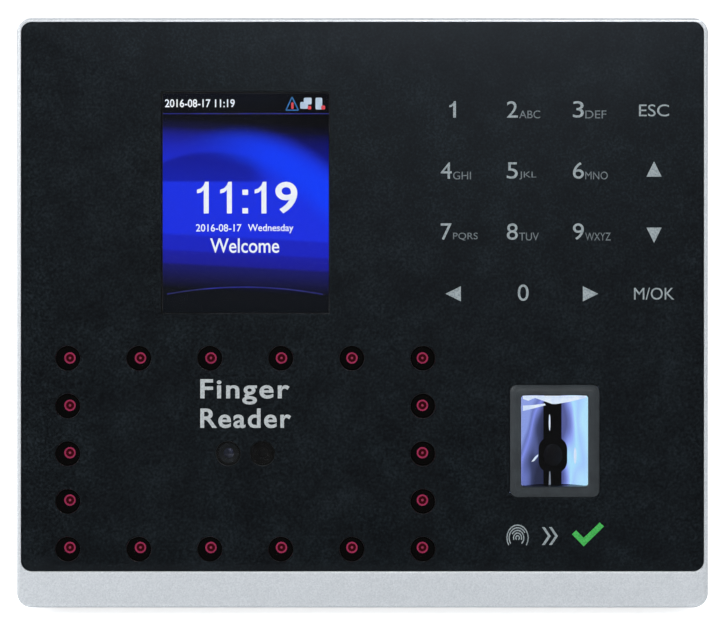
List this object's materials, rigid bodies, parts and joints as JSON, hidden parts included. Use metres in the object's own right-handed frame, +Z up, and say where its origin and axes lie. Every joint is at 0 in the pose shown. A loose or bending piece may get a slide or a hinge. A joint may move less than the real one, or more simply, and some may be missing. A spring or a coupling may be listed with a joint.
{
  "type": "fingerprint scanner terminal",
  "caption": "Landscape wall or desk terminal that signs people in by fingerprint, face or touch keys, with a colour display and infrared lamps.",
  "frame": {"origin": "middle of the bottom of the bounding box, on the surface that the terminal stands on", "axes": "+X to the right of a person facing the display, +Y back towards the wall, +Z up"},
  "size_m": [0.1936, 0.0858, 0.1651],
  "materials": {
    "silver_paint": "satin",
    "black_panel": "matte",
    "black_case": "matte",
    "dark_screw": "satin",
    "window_lens": "gloss",
    "foam": "matte",
    "display": "gloss",
    "white_diffuser": "satin",
    "tinned_steel": "satin",
    "circuit_board": "satin",
    "copper": "satin",
    "chip": "matte",
    "smoked_filter": "gloss",
    "sleeve_black": "matte",
    "led_resin": "gloss",
    "camera_black": "matte",
    "lens_glass": "gloss",
    "sensor_grey": "satin",
    "prism_glass": "gloss",
    "light_strip": "gloss",
    "zinc_steel": "satin",
    "brass_post": "satin",
    "bright_screw": "satin",
    "heat_sink": "satin",
    "capacitor_sleeve": "gloss",
    "relay_blue": "gloss",
    "cell_steel": "satin",
    "speaker_black": "matte",
    "terminal_green": "satin",
    "button_grey": "satin",
    "rubber_black": "matte",
    "spring_steel": "satin",
    "ribbon": "satin"
  },
  "bodies": {
    "terminal": {"front_bezel": "silver_paint", "front_panel": "black_panel", "rear_housing": "black_case", "back_panel": "black_case", "cable_bay": "black_case", "case_screws": "dark_screw", "lcd_window": "window_lens", "lcd_gasket": "foam", "lcd_glass": "display", "lcd_backlight": "white_diffuser", "lcd_frame": "tinned_steel", "touch_key_board": "circuit_board", "touch_electrodes": "copper", "key_controller": "chip", "lamp_filters": "smoked_filter", "lamp_sleeves": "sleeve_black", "infrared_leds": "led_resin", "lamp_board": "circuit_board", "camera_windows": "window_lens", "colour_camera": "camera_black", "infrared_camera": "camera_black", "camera_lenses": "lens_glass", "camera_board": "circuit_board", "sensor_frame": "sensor_grey", "finger_prism": "prism_glass", "sensor_housing": "sleeve_black", "sensor_light_strips": "light_strip", "sensor_lens": "lens_glass", "sensor_lens_holder": "camera_black", "sensor_board": "circuit_board", "carrier_plate": "zinc_steel", "board_standoffs": "brass_post", "main_board": "circuit_board", "board_screws": "bright_screw", "processor": "chip", "heat_spreader": "heat_sink", "memory_chips": "chip", "board_capacitors": "capacitor_sleeve", "door_relay": "relay_blue", "coin_cell_holder": "chip", "coin_cell": "cell_steel", "speaker": "speaker_black", "speaker_gasket": "foam", "connector_board": "circuit_board", "ethernet_jack": "tinned_steel", "power_jack": "chip", "terminal_blocks": "terminal_green", "reset_switch": "chip", "usb_board": "circuit_board", "usb_socket": "tinned_steel", "tamper_switch": "chip", "tamper_spring": "spring_steel", "display_cable": "ribbon", "sensor_cable": "ribbon", "connector_cable": "ribbon"},
    "wall_plate": {"wall_plate": "zinc_steel", "lock_screw": "dark_screw"},
    "port_cover": {"usb_cover": "rubber_black"},
    "reset_button": {"reset_button": "button_grey"},
    "tamper_plunger": {"tamper_plunger": "button_grey"}
  },
  "joints": [
    {"name": "plate_slide", "type": "slide", "parent": "terminal", "child": "wall_plate", "axis": [0, 0, -1], "range_m": [0, 0.012]},
    {"name": "port_cover_hinge", "type": "hinge", "parent": "terminal", "child": "port_cover", "pos_m": [0.0837, 0.019, 0.0945], "axis": [0, 1, 0], "range_deg": [0, 100]},
    {"name": "reset_press", "type": "slide", "parent": "terminal", "child": "reset_button", "axis": [0, 0, 1], "range_m": [0, 0.0006], "stiffness_N_per_m": 800, "springref_m": -0.0004},
    {"name": "tamper_travel", "type": "slide", "parent": "terminal", "child": "tamper_plunger", "axis": [0, 1, 0], "range_m": [0, 0.0025], "deforming": ["tamper_spring"]}
  ]
}
